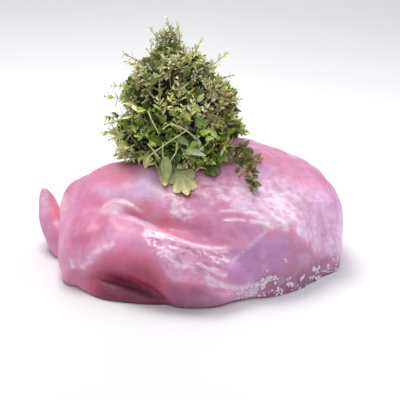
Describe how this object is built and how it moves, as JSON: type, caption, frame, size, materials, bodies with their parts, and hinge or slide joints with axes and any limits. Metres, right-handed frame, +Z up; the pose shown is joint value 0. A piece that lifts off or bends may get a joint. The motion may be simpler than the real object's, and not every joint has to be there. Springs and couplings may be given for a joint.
{
  "type": "raw turkey breast with herbs",
  "caption": "Raw boneless turkey breast with a folded front, a bunch of fresh herbs standing on its crest and a thyme sprig beside it.",
  "frame": {"origin": "on the flat underside, below the crest of the breast", "axes": "+Z up; +X along the breast towards its thick right end; -Y towards the folded front"},
  "size_m": [0.2331, 0.1527, 0.1799],
  "materials": {
    "breast": "wet raw poultry, satin with glossy wet patches",
    "herbs": "fresh green leaves",
    "thyme": "dark brownish green leaves"
  },
  "bodies": {
    "root": {"turkey_breast": "breast", "herb_bunch": "herbs", "thyme_sprig": "thyme"}
  },
  "joints": []
}
